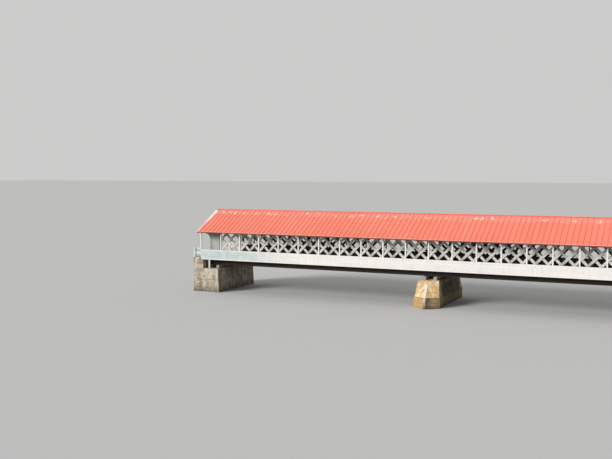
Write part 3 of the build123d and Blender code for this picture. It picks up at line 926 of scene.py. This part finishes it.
def makeRoughStone(node, material, depth):
    bm = mergedCopy(node)
    low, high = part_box(node)
    for axis in range(3):
        normal = Vector([float(axis == spot) for spot in range(3)])
        count = max(1, round((high[axis] - low[axis]) / pierSkin["grid"]))
        for cut in range(1, count):
            cutThrough(bm, normal * (low[axis] + (high[axis] - low[axis]) * cut / count), normal, dist=1e-5)
    bm.normal_update()
    for vert in bm.verts:
        if low.z + pierSkin["flatEdge"] < vert.co.z < high.z - pierSkin["flatEdge"]:
            wobble = 0.5 + 0.5 * noise.noise(vert.co * pierSkin["detail"])
            fine = 0.5 + 0.5 * noise.noise(vert.co * pierSkin["detail"] * 4)
            vert.co -= vert.normal * depth * (0.6 * wobble + 0.4 * fine)
    makePiece(node + "_skin", bm, material, [node])


def layStones(bm, corner, along, up, out, length, levels, depth):
    # one face of a wall: courses of stones of uneven length, each set back a little from the wall's plane
    turn = Matrix((Vector(along), Vector(out), Vector(up))).transposed().to_4x4()
    onFace = Matrix.Translation(corner) @ turn
    for course, (bottom, top) in enumerate(zip(levels, levels[1:])):
        start = 0.0
        while start < length - stones["least"]:
            width = chance.uniform(stones["short"], stones["long"])
            if course % 2 and start == 0:
                width *= stones["firstCut"]
            if length - start - width < stones["short"]:
                width = length - start
            back = chance.uniform(*stones["setBack"])
            addBlock(bm, (start, -depth, bottom),
                     (start + width - stones["joint"], -back, top - stones["joint"]), onFace)
            start += width


def makeAbutment(endName, end):
    node = endName + "_abutment"
    low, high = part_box(node)
    inner, outer = sorted((abs(low.x), abs(high.x)))
    halfWidth = high.y
    core = mergedCopy(node)
    core.normal_update()
    for vert in core.verts:
        vert.co -= vert.normal * vert.calc_shell_factor() * stones["core"]
    makePiece(endName + "_abutment_core", core, coreStone, [node])

    courses, depth, lean = stones["courses"], stones["depth"], abutment["lean"]
    wallLevels = (0.0, abutment["wallCourse"], chordTop - bedFoot)
    backLevels = courses[:-1] + abutment["backCourses"] + (walkHigh.z,)
    seatEdge = inner + lean * bedFoot
    upright, outward, inward = (0, 0, 1), (end, 0, 0), (-end, 0, 0)
    walls = [
        (inner, 0, (end * lean, 0, 1), inward, courses, stones["quoin"]),
        (abutment["wallFront"], bedFoot, upright, inward, wallLevels, depth),
        (seatEdge, bedFoot, outward, upright, abutment["seatCourses"], abutment["seatDepth"]),
        (outer, 0, upright, outward, backLevels, depth),
    ]
    bm = newMesh()
    for x, z, up, out, levels, deep in walls:
        layStones(bm, (end * x, -halfWidth, z), (0, 1, 0), up, out, 2 * halfWidth, levels, deep)
    flanks = [(inner + lean * bottom + stones["quoin"], 0, (bottom, top))
              for bottom, top in zip(courses, courses[1:])]
    flanks += [(abutment["wallFront"], bedFoot, wallLevels),
               (abutment["approach"], chordTop, (0.0, walkHigh.z - chordTop))]
    for side in (-1, 1):
        for x, z, levels in flanks:
            layStones(bm, (end * x, side * halfWidth, z), outward, upright, (0, side, 0), outer - depth - x,
                      levels, depth)
    bmesh.ops.recalc_face_normals(bm, faces=bm.faces[:])
    easeEdges(bm, stones["ease"], 2)
    for vert in bm.verts:
        shift = [noise.noise(vert.co * stones["detail"] + Vector((axis * 7.0, 0, 0))) for axis in range(3)]
        vert.co += Vector(shift) * stones["rough"]
        vert.co.x = max(-outer, min(outer, vert.co.x))
        vert.co.z = max(0.0, vert.co.z)
    makePiece(endName + "_abutment_stones", bm, wallStone)

    # the approach: a gravelled road with a lower walk on each side of it
    letIn, bottom = bridge["letIn"], walkHigh.z - abutment["gravelDepth"]
    x0, x1 = end * (abutment["approach"] + letIn), end * (outer - letIn)
    bm = newMesh()
    addBlock(bm, (x0, -chordBack + letIn, bottom), (x1, chordBack - letIn, deckHigh.z))
    for side in (-1, 1):
        addBlock(bm, (x0, side * chordBack, bottom),
                 (x1, side * (halfWidth - abutment["gravelIn"]), walkHigh.z - letIn))
    easeEdges(bm, abutment["gravelEase"], 2)
    makePiece(endName + "_approach", bm, gravel)


makeRoughStone("pier", pierStone, pierSkin["pierDepth"])
makeRoughStone("pier_plinth", baseStone, pierSkin["plinthDepth"])
for endName, end in ends.items():
    makeAbutment(endName, end)
print("stones laid")

# Bolt heads down both edges of the nosings
bolts = {"count": 8, "radius": 0.009, "domed": 0.6, "proud": 0.007, "fromEdge": 0.016, "batter": 0.76,
         "segments": 8}


def makeNosingBolts():
    low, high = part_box("pier_nosings")
    foot = Vector((0, low.y, low.z))
    top = Vector((0, low.y + (high.z - low.z) * bolts["batter"], high.z))
    outward = Vector((0, -1, bolts["batter"])).normalized()
    bm = newMesh()
    for number in range(bolts["count"]):
        spot = foot.lerp(top, (number + 0.5) / bolts["count"])
        for edge in (-1, 1):
            for side in (1, -1):
                centre = Vector((edge * (high.x - bolts["fromEdge"]), side * spot.y, spot.z))
                turn = Vector((0, side * outward.y, outward.z)).to_track_quat("Z", "Y").to_matrix().to_4x4()
                bmesh.ops.create_cone(bm, cap_ends=True, segments=bolts["segments"],
                                      radius1=bolts["radius"], radius2=bolts["radius"] * bolts["domed"],
                                      depth=bolts["proud"] * 2, matrix=Matrix.Translation(centre) @ turn)
    makePiece("nosing_bolts", bm, steel)


makeNosingBolts()
print("nosings bolted")

# Studio: floor, light and the photo's camera, whose focal length is in pixels of the photo
studio = {
    "floor": (0.68, 0.68, 0.67), "bounce": (0.30, 0.29, 0.27), "background": (0.60, 0.60, 0.595),
    "floorSize": 500, "floorDrop": 0.0005, "floorRough": 0.95, "floorGloss": 0.1,
    "sun": (-0.50, -0.78, 0.38), "sunStrength": 2.9, "sunAngle": 22.0, "fillStrength": 0.40,
}
photo = {"width": 612, "focal": 824.18, "sensor": 36.0, "farthest": 2000,
         "place": (11.990, -42.218, 6.846), "yaw": 25.088, "tilt": -3.98}


def seenDirectly(tree):
    ray = put(tree, "LightPath").outputs
    mirrored = work(tree, "MAXIMUM", ray["Is Glossy Ray"], ray["Is Transmission Ray"])
    return work(tree, "MAXIMUM", ray["Is Camera Ray"], mirrored)


def makeFloor():
    bm = bmesh.new()
    bmesh.ops.create_grid(bm, x_segments=1, y_segments=1, size=studio["floorSize"],
                          matrix=Matrix.Translation((0, 0, -studio["floorDrop"])))
    mesh = bpy.data.meshes.new("studio_floor")
    bm.to_mesh(mesh)
    bm.free()
    floor = newObject("studio_floor", mesh)
    material = bpy.data.materials.new("studio_floor")
    material.use_nodes = True
    tree = material.node_tree
    shader = tree.nodes["Principled BSDF"]
    # pale to the camera and in reflections, and duller where it throws light back up
    colour = blendColour(tree, seenDirectly(tree), studio["bounce"], studio["floor"])
    tree.links.new(colour, shader.inputs["Base Color"])
    shader.inputs["Roughness"].default_value = studio["floorRough"]
    shader.inputs["Specular IOR Level"].default_value = studio["floorGloss"]
    mesh.materials.append(material)


def makeLight():
    lamp = bpy.data.lights.new("soft_sun", "SUN")
    lamp.energy = studio["sunStrength"]
    lamp.angle = math.radians(studio["sunAngle"])
    newObject("soft_sun", lamp).rotation_euler = Vector(studio["sun"]).to_track_quat("Z", "Y").to_euler()
    world = bpy.data.worlds.new("studio")
    bpy.context.scene.world = world
    world.use_nodes = True
    tree = world.node_tree
    tree.nodes.clear()
    fill = put(tree, "Background", {"Color": (1, 1, 1, 1), "Strength": studio["fillStrength"]})
    seen = put(tree, "Background", {"Color": (*studio["background"], 1), "Strength": 1.0})
    mixed = put(tree, "MixShader", {0: seenDirectly(tree), 1: fill.outputs[0], 2: seen.outputs[0]})
    put(tree, "OutputWorld", {"Surface": mixed.outputs[0]})


def makeCamera():
    lens = bpy.data.cameras.new("photo_camera")
    lens.sensor_width = photo["sensor"]
    lens.lens = photo["focal"] * photo["sensor"] / photo["width"]
    lens.clip_end = photo["farthest"]
    camera = newObject("photo_camera", lens)
    camera.location = photo["place"]
    camera.rotation_euler = (math.radians(90 + photo["tilt"]), 0, math.radians(photo["yaw"]))
    bpy.context.scene.camera = camera


makeFloor()
makeLight()
makeCamera()
bpy.context.scene.view_settings.view_transform = "Standard"

print("scene ready")
